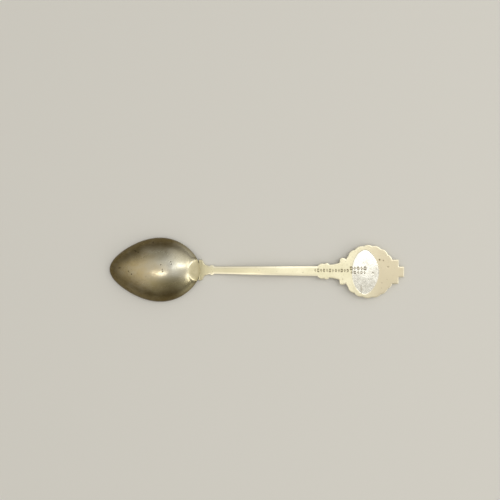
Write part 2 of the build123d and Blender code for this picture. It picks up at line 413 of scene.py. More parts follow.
# Stains in the bowl's tarnish as (x, y, radius, softness) and pits as (x, y, radius)
BOWL_STAINS = (
    (-47.5, 6.9, 1.2, 3.0),
    (-50.2, 5.2, 0.8, 2.6),
    (-32.6, -9.8, 1.4, 3.4),
    (-39.0, 11.0, 1.2, 3.0),
    (-35.5, 10.6, 1.0, 2.4),
    (-41.5, -9.4, 0.3, 2.0),
)
BOWL_PITS = (
    (-47.1, 7.4, 0.25),
    (-46.7, 7.1, 0.2),
    (-45.7, 6.7, 0.15),
    (-40.1, 10.7, 0.2),
    (-36.7, 2.1, 0.18),
    (-36.0, 0.3, 0.12),
    (-35.9, -0.5, 0.16),
    (-32.9, 3.3, 0.14),
    (-32.7, 2.3, 0.1),
    (-48.1, -1.7, 0.22),
    (-49.3, -0.6, 0.14),
    (-53.2, 0.6, 0.2),
    (-52.8, 0.7, 0.2),
)
PIT_CORE, PIT_SOFTNESS, PIT_STRENGTH = 0.4, 0.3, 0.85
STAIN_STRENGTH = 0.6

# Places on the bowl as (x, y, radius, softness), and where along it something starts and is complete
CHAMPAGNE_AREA = (-49.0, -2.0, 5.0, 13.0)
GREY_BLOT = (-32.5, 1.8, 0.5, 1.9)
RUBBED_PATCH = (-48.0, 3.2, 0.5, 4.0)
NEAR_HEEL = (-33.0, -25.5)
NEAR_TIP = (-46.0, -54.0)
LOWER_SIDE = (-2.0, -5.0)
PAST_TIP = (-44.0, -40.0)

# Colours of the bowl
PLATE = (0.60, 0.585, 0.51)
CHAMPAGNE = (0.62, 0.505, 0.285)
# Paler colour at the heel: partly less tarnish, partly a painted light on the heel side
HEEL_PLATE_AND_LIGHT = (0.74, 0.70, 0.55)
# Darker colour on the rim: partly tarnish, partly a painted dark reflection
RIM_TARNISH_AND_REFLECTION = (0.30, 0.26, 0.15)
BLOT_GREY = (0.34, 0.335, 0.30)
# Browns of the tarnish towards the edge, which also paint a dark reflection there
TARNISH_AND_REFLECTION_DARK, TARNISH_AND_REFLECTION_LIGHT = (0.14, 0.10, 0.035), (0.20, 0.15, 0.055)
STAIN_BROWN = (0.16, 0.12, 0.05)
FACET_METAL = (0.41, 0.375, 0.25)
PIT_BROWN = (0.07, 0.052, 0.025)
# Painted shade on the bowl's lower side
LOWER_SIDE_PAINTED_SHADE = (0.80, 0.77, 0.62)
SCRATCH_SILVER = (0.74, 0.71, 0.6)

# Places along the handle, and its colours
TOWARDS_CROWN = (36.0, 48.0)
UPPER_STEM = (-10.0, 14.0)
PAST_SHOULDER = (-22.5, -17.5)
NICKEL_DARK, NICKEL_LIGHT = (0.85, 0.805, 0.585), (0.93, 0.885, 0.665)
NICKEL_GRAIN = (0.56, 0.48, 0.33)
DISH_GREY, DISH_WHITE = (0.77, 0.75, 0.665), (0.88, 0.87, 0.80)
# Painted shade darkening the finial towards the crown
CROWN_PAINTED_SHADE = (0.66, 0.585, 0.43)
STEM_METAL = (0.74, 0.69, 0.485)
# Painted shade on the shoulder beside the bowl
SHOULDER_PAINTED_SHADE = (0.36, 0.325, 0.20)
# Painted highlight along the handle's edges
EDGE_PAINTED_HIGHLIGHT = (1.0, 0.95, 0.77)
HOLLOW_BROWN = (0.20, 0.145, 0.075)
MARK_BROWN = (0.13, 0.085, 0.035)
DENT_BROWN = (0.22, 0.16, 0.08)

# Colours of the small pieces
SOLDER_DARK, SOLDER_LIGHT = (0.40, 0.37, 0.31), (0.58, 0.55, 0.48)
GILT_DARK, GILT_LIGHT = (0.80, 0.58, 0.27), (0.93, 0.74, 0.42)
RESIN_CLEAR, RESIN_HAZY = (0.06, 0.065, 0.07), (0.12, 0.12, 0.12)
RESIN_ALPHA = 0.16

# Enamels as (node, material, deep colour, bright colour, scale, and any stretch)
ENAMELS = (
    ("ribbon_enamel", "enamel_navy", (0.012, 0.02, 0.09), (0.02, 0.035, 0.16), 300),
    ("enamel_sky", "enamel_sky", (0.10, 0.34, 0.68), (0.34, 0.62, 0.86), 160, (1.6, 0.4, 1)),
    ("enamel_hills", "enamel_green", (0.02, 0.13, 0.04), (0.07, 0.27, 0.07), 420),
    ("enamel_sea", "enamel_sea", (0.005, 0.05, 0.20), (0.02, 0.20, 0.42), 500, (3, 0.6, 1)),
    ("enamel_sun", "enamel_yellow", (0.85, 0.48, 0.02), (0.95, 0.66, 0.05), 500),
    ("enamel_sail", "enamel_white", (0.78, 0.77, 0.72), (0.92, 0.91, 0.88), 400),
)


class Nodes:
    """A short way to write the node tree of a new material or world."""

    def __init__(self, owner, coordinates="Object"):
        owner.use_nodes = True
        self.owner = owner
        self.tree = owner.node_tree
        self.place = self.add("ShaderNodeTexCoord").outputs[coordinates]

    def add(self, kind, inputs=None, **settings):
        """A node with its settings made and its inputs set to values or linked to sockets."""
        node = self.tree.nodes.new(kind)
        for key, value in settings.items():
            setattr(node, key, value)
        for key, value in (inputs or {}).items():
            self.put(value, node.inputs[key])
        return node

    def put(self, value, socket):
        if isinstance(value, bpy.types.NodeSocket):
            self.tree.links.new(value, socket)
        else:
            socket.default_value = value

    def set(self, **inputs):
        """Sets the material shader's inputs."""
        shader = self.tree.nodes["Principled BSDF"]
        for key, value in inputs.items():
            self.put(value, shader.inputs[key.replace("_", " ")])

    def noise(self, scale, detail=3.0, roughness=0.55, stretch=(1, 1, 1), distortion=0.0):
        """Noise whose grains are 1 / scale metres, stretched along each axis."""
        place = self.add("ShaderNodeMapping", {"Vector": self.place, "Scale": stretch})
        sizes = {"Vector": place.outputs[0], "Scale": scale, "Detail": detail}
        sizes |= {"Roughness": roughness, "Distortion": distortion}
        return self.add("ShaderNodeTexNoise", sizes).outputs["Fac"]

    def ramp(self, value, *stops, smooth=False):
        """A number turned into a colour or a grey through stops of (place, colour)."""
        node = self.add("ShaderNodeValToRGB", {"Fac": value})
        node.color_ramp.interpolation = "EASE" if smooth else "LINEAR"
        node.color_ramp.elements[0].position = stops[0][0]
        node.color_ramp.elements[1].position = stops[-1][0]
        for place, _ in stops[1:-1]:
            node.color_ramp.elements.new(place)
        for element, (_, colour) in zip(node.color_ramp.elements, stops):
            grey = not isinstance(colour, tuple)
            element.color = (colour, colour, colour, 1) if grey else (*colour, 1)
        return node.outputs["Color"]

    def math(self, operation, first, second=0.0, third=0.0):
        node = self.add("ShaderNodeMath", operation=operation)
        for value, socket in zip((first, second, third), node.inputs):
            self.put(value, socket)
        return node.outputs[0]

    def times(self, first, second):
        return self.math("MULTIPLY", first, second)

    def scaled(self, value, factor, offset):
        """A number times factor, plus offset."""
        return self.math("MULTIPLY_ADD", value, factor, offset)

    def mix(self, share, first, second, blend="MIX"):
        """Two colours mixed by a share."""
        node = self.add("ShaderNodeMix", data_type="RGBA", blend_type=blend)
        self.put(share, node.inputs[0])
        for value, socket in ((first, node.inputs[6]), (second, node.inputs[7])):
            self.put((*value, 1) if isinstance(value, tuple) else value, socket)
        return node.outputs[2]

    def painted(self, label):
        """A number painted on the mesh's corners."""
        return self.add("ShaderNodeAttribute", attribute_name=label).outputs["Fac"]

    def spot(self, x, y, radius, softness):
        """1 inside a round mark at x, y millimetres, fading to 0 outside it."""
        parts = self.add("ShaderNodeSeparateXYZ", {"Vector": self.place}).outputs
        across = self.math("SUBTRACT", parts["X"], x * MM)
        along = self.math("SUBTRACT", parts["Y"], y * MM)
        square = self.math("ADD", self.times(across, across), self.times(along, along))
        fade = {
            "Value": self.math("SQRT", square),
            "From Min": radius * MM,
            "From Max": (radius + softness) * MM,
            "To Min": 1.0,
            "To Max": 0.0,
        }
        return self.add("ShaderNodeMapRange", fade).outputs[0]

    def along(self, axis, start, end):
        """0 before start and 1 after end, in millimetres along an axis."""
        place = self.add("ShaderNodeSeparateXYZ", {"Vector": self.place}).outputs[axis]
        span = {"Value": place, "From Min": start * MM, "From Max": end * MM}
        return self.add("ShaderNodeMapRange", span).outputs[0]

    def bump(self, *layers):
        """Bump from (height, depth in millimetres) layers, one on the other."""
        normal = None
        for height, depth in layers:
            inputs = {"Height": height, "Distance": depth * MM, "Strength": 1.0}
            if normal is not None:
                inputs["Normal"] = normal
            normal = self.add("ShaderNodeBump", inputs).outputs["Normal"]
        self.set(Normal=normal)


def clean_plate(n, share, clouds, near_heel):
    """The plate's colour: warmer towards the tip, paler at the heel, partly a painted light there, and
    darker on the rim, partly tarnish and partly a painted dark reflection.
    """
    patchy = n.ramp(clouds, (0.25, 0.6), (0.6, 1.0))
    champagne = n.times(n.spot(*CHAMPAGNE_AREA), patchy)
    clean = n.mix(champagne, PLATE, CHAMPAGNE)
    # Paler towards the heel: less tarnish and a painted light
    clean = n.mix(near_heel, clean, HEEL_PLATE_AND_LIGHT)
    # Darker on the rim: tarnish and a painted dark reflection
    on_rim = n.ramp(share, (0.92, 0.0), (0.985, 0.75))
    clean = n.mix(on_rim, clean, RIM_TARNISH_AND_REFLECTION)
    return n.mix(n.times(n.spot(*GREY_BLOT), 0.6), clean, BLOT_GREY)


def plate_tarnish_and_dark_reflection(n, share, clouds, near_heel):
    """How far the plate is browned by tarnish and by a painted dark reflection: more towards the edge,
    less at the heel, which is painted lighter, and at the tip.
    """
    drift = n.times(n.math("SUBTRACT", clouds, 0.5), 0.30)
    reach = n.math("ADD", share, drift)
    # Browner towards the edge: tarnish and a painted dark reflection
    tarnish_and_dark_reflection = n.ramp(reach, (0.40, 0.0), (0.58, 0.34), (0.76, 0.74), (0.95, 1.0))
    # Less towards the heel, where light is painted
    tarnish_and_dark_reflection = n.times(tarnish_and_dark_reflection, n.scaled(near_heel, -0.85, 1.0))
    inner = n.ramp(share, (0.75, 0.45), (0.92, 0.0))
    near_tip = n.times(n.along("X", *NEAR_TIP), inner)
    tarnish_and_dark_reflection = n.times(tarnish_and_dark_reflection, n.math("SUBTRACT", 1.0, near_tip))
    return n.times(tarnish_and_dark_reflection, n.scaled(n.spot(*RUBBED_PATCH), -0.5, 1.0))


def plate_stains(n, share):
    """Scattered brown stains, more of them towards the edge, and the large ones."""
    stains = n.ramp(n.noise(520, 3, 0.6, distortion=1.0), (0.60, 0.0), (0.74, 0.4))
    stains = n.times(stains, n.ramp(share, (0.3, 0.2), (0.8, 1.0)))
    for stain in BOWL_STAINS:
        stains = n.math("MAXIMUM", stains, n.times(n.spot(*stain), STAIN_STRENGTH))
    return stains


def plate_pits(n):
    """Scattered pits and the large ones."""
    pits = n.ramp(n.noise(3300, 1, 0.4), (0.735, 0.0), (0.77, 0.85))
    for x, y, radius in BOWL_PITS:
        pit = n.spot(x, y, PIT_CORE * radius, PIT_SOFTNESS)
        pits = n.math("MAXIMUM", pits, n.times(pit, PIT_STRENGTH))
    return pits


def silver_plate():
    """Worn silver plate, clean on the crown of the bowl and brown towards its edge with tarnish and a
    painted dark reflection, paler at the heel with painted light, and with painted shade on its lower
    side.
    """
    n = Nodes(bpy.data.materials.new("silver_plate"))
    clouds = n.noise(230, 4, 0.6, distortion=0.5)
    fine = n.noise(1400, 3, 0.6)
    share = n.painted("share")
    near_heel = n.along("X", *NEAR_HEEL)
    tarnish_and_dark_reflection = plate_tarnish_and_dark_reflection(n, share, clouds, near_heel)
    pits = plate_pits(n)
    scratches = n.ramp(n.noise(900, 2, 0.7, stretch=(0.25, 7, 1)), (0.60, 0.0), (0.68, 1.0))
    worn = n.times(n.painted("facet"), n.ramp(clouds, (0.3, 0.55), (0.6, 0.85)))
    # Painted shade on the lower side, away from the tip
    painted_lower_shade = n.times(n.along("Y", *LOWER_SIDE), n.along("X", *PAST_TIP))

    brown = n.mix(n.ramp(fine, (0.35, 0.0), (0.65, 1.0)), TARNISH_AND_REFLECTION_DARK, TARNISH_AND_REFLECTION_LIGHT)
    colour = n.mix(tarnish_and_dark_reflection, clean_plate(n, share, clouds, near_heel), brown)
    colour = n.mix(plate_stains(n, share), colour, STAIN_BROWN)
    colour = n.mix(worn, colour, FACET_METAL)
    colour = n.mix(pits, colour, PIT_BROWN)
    colour = n.mix(painted_lower_shade, colour, LOWER_SIDE_PAINTED_SHADE, "MULTIPLY")
    colour = n.mix(n.times(scratches, 0.12), colour, SCRATCH_SILVER)

    rough = n.scaled(tarnish_and_dark_reflection, 0.14, n.scaled(fine, 0.08, 0.19))
    rough = n.scaled(pits, 0.3, rough)
    n.set(Base_Color=colour, Metallic=1.0, Roughness=rough)
    n.bump((n.noise(170, 2), 0.05), (n.noise(600, 2), 0.004), (pits, -0.03), (scratches, 0.001))
    return n.owner


def nickel_colour(n, clouds, fine, mottle, dents):
    """Nickel silver: darker along the stem, painted shade on the shoulder beside the bowl and towards
    the crown, a painted highlight along the edges, whiter in the dish, brown in its marks.
    """
    near_bowl = n.math("SUBTRACT", 1.0, n.along("X", *PAST_SHOULDER))
    low_on_stem = n.math("SUBTRACT", 1.0, n.along("X", *UPPER_STEM))
    colour = n.mix(n.ramp(clouds, (0.35, 0.0), (0.65, 1.0)), NICKEL_DARK, NICKEL_LIGHT)
    colour = n.mix(n.ramp(fine, (0.52, 0.0), (0.75, 0.3)), colour, NICKEL_GRAIN)
    # Painted shade towards the crown
    colour = n.mix(n.times(n.along("X", *TOWARDS_CROWN), 0.85), colour, CROWN_PAINTED_SHADE)
    colour = n.mix(n.times(low_on_stem, 0.7), colour, STEM_METAL)
    # Painted shade on the shoulder beside the bowl
    colour = n.mix(n.times(near_bowl, 0.9), colour, SHOULDER_PAINTED_SHADE)
    speckled = n.mix(n.ramp(mottle, (0.36, 0.0), (0.66, 1.0)), DISH_GREY, DISH_WHITE)
    colour = n.mix(n.painted("dish"), colour, speckled)
    # Painted highlight along the edges, held back beside the bowl
    edge = n.times(n.painted("edge"), n.scaled(near_bowl, -0.8, 0.85))
    colour = n.mix(edge, colour, EDGE_PAINTED_HIGHLIGHT)
    patchy = n.ramp(n.noise(900, 3, 0.6), (0.3, 0.55), (0.6, 1.0))
    colour = n.mix(n.times(n.painted("sunk"), patchy), colour, HOLLOW_BROWN)
    marks = n.times(n.painted("cavity"), n.times(patchy, 0.92))
    colour = n.mix(marks, colour, MARK_BROWN)
    return n.mix(dents, colour, DENT_BROWN)


def nickel():
    """Satin nickel silver, polished in the dish and dull in its marks."""
    n = Nodes(bpy.data.materials.new("nickel_silver"))
    clouds = n.noise(190, 4, 0.6)
    fine = n.noise(1500, 3, 0.65)
    mottle = n.noise(800, 4, 0.7, distortion=0.6)
    dents = n.ramp(n.noise(2600, 1, 0.4), (0.74, 0.0), (0.77, 0.7))
    brushed = n.noise(600, 3, 0.7, stretch=(0.5, 8, 1))
    satin = n.scaled(brushed, 0.16, 0.27)
    polished = n.scaled(mottle, 0.12, 0.07)
    rough = n.add("ShaderNodeMix", {0: n.painted("dish"), 2: satin, 3: polished}).outputs[0]
    rough = n.scaled(n.painted("cavity"), 0.25, rough)
    colour = nickel_colour(n, clouds, fine, mottle, dents)
    n.set(Base_Color=colour, Metallic=1.0, Roughness=rough)
    n.bump((n.noise(260, 2), 0.01), (fine, 0.0022), (brushed, 0.001), (dents, -0.02))
    return n.owner


def solder_metal():
    """Dull grey solder with a lumpy skin."""
    n = Nodes(bpy.data.materials.new("solder"))
    lumps = n.noise(1500, 3, 0.6)
    n.set(Base_Color=n.ramp(lumps, (0.3, SOLDER_DARK), (0.7, SOLDER_LIGHT)), Metallic=1.0)
    n.set(Roughness=n.ramp(lumps, (0.3, 0.42), (0.7, 0.6)))
    n.bump((lumps, 0.03))
    return n.owner


def gilt():
    """The badge's gilt brass plate, with darker specks."""
    n = Nodes(bpy.data.materials.new("badge_metal"))
    fine = n.noise(1800, 3, 0.6)
    n.set(Base_Color=n.ramp(fine, (0.35, GILT_DARK), (0.7, GILT_LIGHT)), Metallic=1.0)
    n.set(Roughness=n.ramp(fine, (0.3, 0.22), (0.7, 0.34)))
    n.bump((fine, 0.004))
    return n.owner


def enamel(name, deep, bright, scale, stretch=(1, 1, 1)):
    """Fired enamel: two shades that run into each other, with tiny bubbles and a glossy skin."""
    n = Nodes(bpy.data.materials.new(name))
    run = n.noise(scale, 3, 0.6, stretch, 0.8)
    bubbles = n.ramp(n.noise(4200, 1, 0.3), (0.73, 0.0), (0.76, 0.5))
    colour = n.mix(n.ramp(run, (0.35, 0.0), (0.65, 1.0)), deep, bright)
    n.set(Base_Color=n.mix(bubbles, colour, tuple(0.6 * part for part in deep)))
    n.set(Roughness=n.ramp(run, (0.3, 0.07), (0.7, 0.14)), Coat_Weight=0.5, Coat_Roughness=0.04)
    n.bump((n.noise(420, 2), 0.012), (bubbles, -0.006))
    return n.owner


def resin():
    """The clear dome over the picture, with the faint haze of fine scratches."""
    n = Nodes(bpy.data.materials.new("clear_resin"))
    haze = n.noise(1600, 3, 0.7, (1, 5, 1))
    n.set(Base_Color=n.ramp(haze, (0.3, RESIN_CLEAR), (0.7, RESIN_HAZY)))
    n.set(Roughness=n.ramp(haze, (0.4, 0.03), (0.8, 0.12)), Alpha=RESIN_ALPHA)
    n.bump((haze, 0.0008))
    return n.owner


# ---- bowl


def egg(turn, inset):
    """The bowl's egg outline about its apex, in its own plane, drawn in by inset."""
    x = EGG_HALF_LENGTH * (1 + np.cos(turn)) + EGG_LEAN * (1 - np.cos(2 * turn)) - APEX_REACH
    y = EGG_HALF_WIDTH * np.sin(turn) + EGG_FULLNESS * np.sin(2 * turn) - EGG_POINTS * np.sin(3 * turn)
    y = y + EGG_HEEL * np.sin(turn) * np.cos(turn).clip(0) ** EGG_HEEL_POWER
    x = x * (EGG_HALF_LENGTH - inset) / EGG_HALF_LENGTH
    y = y * (EGG_HALF_WIDTH - inset) / EGG_HALF_WIDTH
    return np.column_stack([x, y])


def in_row(flat, height, inset):
    """Tilts points of the bowl's own plane into the row frame and presses the lap flat.

    Also returns how far each point belongs to the facet that the lap shows on the bowl's back.
    """
    reach = flat[:, 0] + APEX_REACH
    x = TIP_X + reach * math.cos(BOWL_TILT) - height * math.sin(BOWL_TILT)
    y = flat[:, 1]
    z = reach * math.sin(BOWL_TILT) + height * math.cos(BOWL_TILT)
    lap = LAP_TOP + (HEEL_X - x) * math.tan(LAP_SLOPE) - inset / math.cos(LAP_SLOPE)
    half_width = np.interp(x, *LAP_FLAT)
    fade = np.interp(x, *LAP_FADE)
    across = 1 - ease(half_width, half_width + fade, np.abs(y))
    lift = np.maximum(lap - z, 0) * across * ease(*LAP_RAISED, x)
    cut = np.maximum(z - lap, 0) * ease(*LAP_PRESSED, x)
    facet = 1 - ease(half_width - FACET_SPREAD, half_width + FACET_SPREAD * fade, np.abs(y))
    return np.column_stack([x, y, z + (lift - cut)]), facet * ease(*FACET_SHOWN, x)


def disc_points(rings, closeness):
    """Points over a unit disc, in rings that draw together towards its edge."""
    rows = [np.zeros((1, 2))]
    for ring in range(1, rings):
        radius = 1 - (1 - ring / rings) ** closeness
        turn = turns(max(6, round(6 * radius * rings)))
        rows.append(radius * circle(turn + ring))
    return np.vstack(rows)


def dome(rings, closeness, inset):
    """One side of the bowl: corners, triangles, rim, each corner's share of the way out, facet."""
    disc, triangles, rim = triangulate(circle(turns(RIM_POINTS)), disc_points(rings, closeness))
    share = np.clip(np.hypot(*disc.T), 0, 1)
    turn = np.arctan2(disc[:, 1], disc[:, 0])
    flat = egg(turn, inset) * share[:, None]
    fall = (1 - DOME_FOURTH) * share**2 + DOME_FOURTH * share**4
    rise = (1 - fall).clip(0) ** DOME_POWER
    height = LIP_HEIGHT + (BOWL_DEPTH - inset - LIP_HEIGHT) * rise
    corners, facet = in_row(flat, height, inset)
    return corners, triangles, rim, share, facet


def rolled_lip():
    """Rings of corners round the lip, from the back to the inside, and their facets."""
    rings = []
    turn = turns(RIM_POINTS)
    for step in range(1, LIP_STEPS):
        angle = math.pi * step / LIP_STEPS
        inset = BOWL_WALL / 2 * (1 - math.cos(angle))
        height = np.full(RIM_POINTS, LIP_HEIGHT * (1 - math.sin(angle)))
        rings.append(in_row(egg(turn, inset), height, inset))
    return rings


def build_bowl():
    """The bowl's back and inside, joined by its rolled lip."""
    outer, outer_faces, outer_rim, outer_share, outer_facet = dome(OUTER_RINGS, OUTER_CLOSENESS, 0)
    inner, inner_faces, inner_rim, inner_share, _ = dome(INNER_RINGS, INNER_CLOSENESS, BOWL_WALL)
    inner_rim = inner_rim + len(outer)
    corners = [outer, inner]
    shares = [outer_share, inner_share]
    facets = [outer_facet, np.zeros(len(inner))]
    faces = outer_faces.tolist() + (inner_faces[:, ::-1] + len(outer)).tolist()
    previous = outer_rim
    total = len(outer) + len(inner)
    for ring_corners, ring_facet in rolled_lip():
        corners.append(ring_corners)
        shares.append(np.ones(RIM_POINTS))
        facets.append(ring_facet)
        ring = np.arange(total, total + RIM_POINTS)
        faces += strip(previous, ring)
        previous = ring
        total += RIM_POINTS
    faces += strip(previous, inner_rim)
    values = {"share": np.concatenate(shares), "facet": np.concatenate(facets)}
    make_piece("bowl_shell", np.vstack(corners), faces, silver_plate(), values, "bowl")


# ---- handle from above


def disc_edge(turn):
    """Distance from the disc's centre to its scalloped edge."""
    radius = np.full(len(turn), DISC_RADIUS)
    ring = LOBE_REACH - LOBE_RADIUS
    for angle in LOBE_ANGLES:
        side = ring * np.sin(turn - angle)
        ahead = ring * np.cos(turn - angle)
        half_chord = np.sqrt(np.maximum(LOBE_RADIUS**2 - side**2, 0))
        on_lobe = (np.abs(side) < LOBE_RADIUS) & (ahead > 0)
        radius = np.maximum(radius, np.where(on_lobe, ahead + half_chord, 0))
    return radius


def rounded_corner(start, corner):
    """One step of the crown: a straight edge and the rounded corner at its end."""
    x, y = corner
    slant = CROWN_CORNER * (1 - math.sqrt(0.5))
    before, after = (x - CROWN_CORNER, y), (x, y - CROWN_CORNER)
    return np.vstack([line(start, before), arc(before, (x - slant, y - slant), after, 0.06)])


def handle_outline():
    """The handle's outline from above as one closed loop."""
    disc_start = math.atan2(EAR_END[1], EAR_END[0] - DISC_X)
    disc_end = math.asin(CROWN_STEP[1] / (LOBE_REACH - 0.1))
    turn = np.linspace(disc_start, disc_end, DISC_POINTS)
    disc = disc_edge(turn)[:, None] * circle(turn) + [DISC_X, 0]
    half = np.vstack([
        follow(TONGUE_END, HALF_PATH),
        disc,
        rounded_corner((disc[-1][0], CROWN_STEP[1]), CROWN_STEP),
        line((CROWN_STEP[0], CROWN_STEP[1] - CROWN_CORNER), (CROWN_STEP[0], CROWN_TOP[1])),
        rounded_corner((CROWN_STEP[0], CROWN_TOP[1]), CROWN_TOP),
        line((CROWN_TOP[0], CROWN_TOP[1] - CROWN_CORNER), (CROWN_TOP[0], 0)),
        [(CROWN_TOP[0], 0)],
    ])
    mirrored = (half[1:-1] * [1, -1])[::-1]
    return np.vstack([half, mirrored])[::-1]


def edge_rows(outline, distances):
    """Points just inside the outline, in rows that stop where they run into another stretch."""
    ahead = np.roll(outline, -1, 0) - np.roll(outline, 1, 0)
    inward = np.column_stack([-ahead[:, 1], ahead[:, 0]])
    inward /= np.linalg.norm(inward, axis=1)[:, None]
    rows = []
    for distance in distances:
        row = outline + distance * inward
        row = row[inside(row, outline)]
        rows.append(row[edge_distance(row, outline) > ROW_CLEARANCE * distance])
    return np.vstack(rows)


def grid_over(outline, boxes, gap):
    """Grid points inside the outline, from boxes of (low, high, step); later boxes are finer."""
    kept = np.empty((0, 2))
    for low, high, step in boxes:
        grid = hex_grid(low, high, step)
        clear = ~((kept > low) & (kept < high)).all(1)
        kept = np.vstack([kept[clear], grid])
    kept = kept[inside(kept, outline)]
    return kept[edge_distance(kept, outline) > gap]


# ---- handle from the side


def stem_heights(side):
    """A smooth curve through the CAD stem's back (side 1) or front (side -1)."""
    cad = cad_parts["handle"].data
    tree = BVHTree.FromPolygons([v.co for v in cad.vertices], [p.vertices for p in cad.polygons])
    places = np.linspace(STEM_FOOT_X + 0.1, STEM_HEAD_X - 0.1, STEM_SAMPLES)
    heights = []
    for x in places:
        start = Vector((x * MM, BESIDE_RIB_Y * MM, side * 0.05))
        hit = tree.ray_cast(start, Vector((0, 0, -side)))
        heights.append(hit[0].z / MM)
    return np.polyfit(places, heights, STEM_CURVE_POWER)


def side_view(x, curve, shoulder, finial):
    """Height along the handle: a level shoulder, the stem's curve and a level finial."""
    height = np.polyval(curve, np.clip(x, STEM_FOOT_X, STEM_HEAD_X))
    height = np.where(x < STEM_FOOT_X, shoulder, height)
    return np.where(x > STEM_HEAD_X, finial, height)


def handle_back(x):
    """Height of the handle's back before its edges are rounded."""
    lap = LAP_TOP + (HEEL_X - x) * math.tan(LAP_SLOPE) - TONGUE_DROP
    height = side_view(x, BACK_CURVE, SHOULDER_BACK, FINIAL_BACK)
    return np.where(x < HEEL_X, np.maximum(lap, SHOULDER_BACK), height)


def handle_front(x):
    """Height of the handle's front before its relief."""
    tongue = np.maximum(handle_back(x) - TONGUE_THICKNESS, SHOULDER_FRONT)
    height = side_view(x, FRONT_CURVE, SHOULDER_FRONT, FINIAL_FRONT)
    return np.where(x < HEEL_X, tongue, height)


def rounding(distance, radius):
    """How far a rounded edge falls away at a distance from the outline."""
    near = np.clip(distance, 0, radius)
    return radius - np.sqrt(np.maximum(radius**2 - (radius - near) ** 2, 0))


def on_stem(x):
    """1 along the stem and 0 on the shoulder and the finial."""
    return ease(*STEM_STARTS, x) * (1 - ease(*STEM_ENDS, x))


def bevel(x, distance):
    """How far the back falls away at its bevelled edge, which is wide along the stem."""
    width = BEVEL_WIDTH + STEM_BEVEL_WIDTH * on_stem(x)
    depth = BEVEL_DEPTH + STEM_BEVEL_DEPTH * on_stem(x)
    slope = depth * np.clip(1 - distance / width, 0, 1)
    return slope + rounding(distance, BACK_EDGE_RADIUS)


def painted_edge_highlight(x, distance):
    """Where a highlight is painted along the edge, which is wider along the stem."""
    low, high = BRIGHT_EDGE
    wide = STEM_BRIGHT_EDGE * on_stem(x)
    return 1 - ease(low + wide, high + wide, distance)


# ---- marks in the handle's back


def dish_share(x, y):
    """1 on the edge of the dish in the finial's back, which is more pointed towards the crown."""
    power = np.where(x < BADGE_X, DISH_LEFT_POWER, DISH_RIGHT_POWER)
    across = np.abs((x - BADGE_X) / DISH[0]) ** power
    along = np.abs((y - DISH_Y) / DISH[1]) ** power
    return (across + along) ** (1 / power)


def dish_loop(scale):
    """The dish's edge as a loop."""
    middle = [BADGE_X, DISH_Y]
    loop = middle + circle(turns(LOOP_POINTS) + 0.001)
    reach = scale / dish_share(*loop.T)
    return middle + (loop - middle) * reach[:, None]


def punch_row(first_x, step, y, half_width, half_height, count, first_kind):
    """A row of generic punched shapes as (x, y, half width, half height, kind)."""
    marks = []
    for index in range(count):
        kind = PUNCH_KINDS[(index + first_kind) % len(PUNCH_KINDS)]
        marks.append((first_x + step * index, y, half_width, half_height, kind))
    return marks


def punched(x, y):
    """How deep the punch marks go at each place, as a share."""
    marks = punch_row(*STEM_PUNCHES, 0) + punch_row(*UPPER_PUNCHES, 1) + punch_row(*LOWER_PUNCHES, 0)
    depth = np.zeros(len(x))
    for centre_x, centre_y, half_width, half_height, kind in marks:
        across = np.abs(x - centre_x) / half_width
        along = np.abs(y - centre_y) / half_height
        reach = {
            "lozenge": across + along,
            "square": np.maximum(across, along),
            "ring": np.hypot(across, along),
        }[kind]
        stroke = 1 - ease(*PUNCH_STROKE, np.abs(reach - PUNCH_STROKE_REACH))
        depth = np.maximum(depth, stroke)
    return depth


def wear(x, y):
    """A scored line and pits in the back, as a share of their depth."""
    across = 1 - ease(*SCORE_WIDTH, np.abs(x - SCORE_X))
    marks = SCORE_SHARE * across * ease(*SCORE_STARTS, y) * (1 - ease(*SCORE_ENDS, y))
    for pit_x, pit_y, radius in PITS:
        marks = np.maximum(marks, 1 - ease(0.3 * radius, radius, np.hypot(x - pit_x, y - pit_y)))
    return marks


# ---- relief on the handle's front


def radial(x, y):
    """Distance and angle about the middle of the disc."""
    return np.hypot(x - DISC_X, y), np.arctan2(y, x - DISC_X)


def ribbon_distance(x, y):
    """Distance to the ribbon's middle line."""
    turn = radial(x, y)[1]
    clipped = np.clip(turn, -RIBBON_HALF_ANGLE, RIBBON_HALF_ANGLE)
    nearest_x = DISC_X + RIBBON_RADIUS * np.cos(clipped)
    nearest_y = RIBBON_RADIUS * np.sin(clipped)
    return np.hypot(x - nearest_x, y - nearest_y)


def seat_share(x, y, grow=0.0):
    """1 on the edge of the badge's seat, or of that edge moved out by grow."""
    return np.hypot((x - BADGE_X) / (SEAT[0] + grow), y / (SEAT[1] + grow))


def rays_and_rim(x, y, distance):
    """Fine rays over the disc and a raised rim round the finial."""
    reach, turn = radial(x, y)
    shown = (1 - ease(*RAY_ENDS, reach)) * ease(*RAY_STARTS, distance)
    rays = RAY_HEIGHT * (1 + np.cos(RAY_COUNT * turn)) * shown
    return highest(rays, ridge(distance, RIM_RIDGE))


def pearls(x, y):
    """A pearl with a collar in each lobe that the ribbon leaves free."""
    reach, turn = radial(x, y)
    height = np.zeros(len(x))
    for angle in LOBE_ANGLES:
        if abs(angle) > RIBBON_HALF_ANGLE + PEARL_CLEARANCE:
            gap = np.hypot(reach * np.cos(turn - angle) - PEARL_CIRCLE, reach * np.sin(turn - angle))
            height = highest(height, ridge(gap, PEARL), ridge(gap, PEARL_COLLAR))
    return height


def crown_bars(x, distance):
    """Bars across the stepped crown."""
    bars = ridge((x - BAR_X) % BAR_STEP, BAR_RIDGE)
    return bars * (x > BAR_X - BAR_LEAD) * (distance > BAR_INSET)


def ear_beads(x, y):
    """A bead with a collar in each ear."""
    gap = np.hypot(x - EAR_BEAD_X, np.abs(y) - EAR_BEAD_Y)
    return highest(ridge(gap, EAR_BEAD), ridge(gap, EAR_COLLAR))


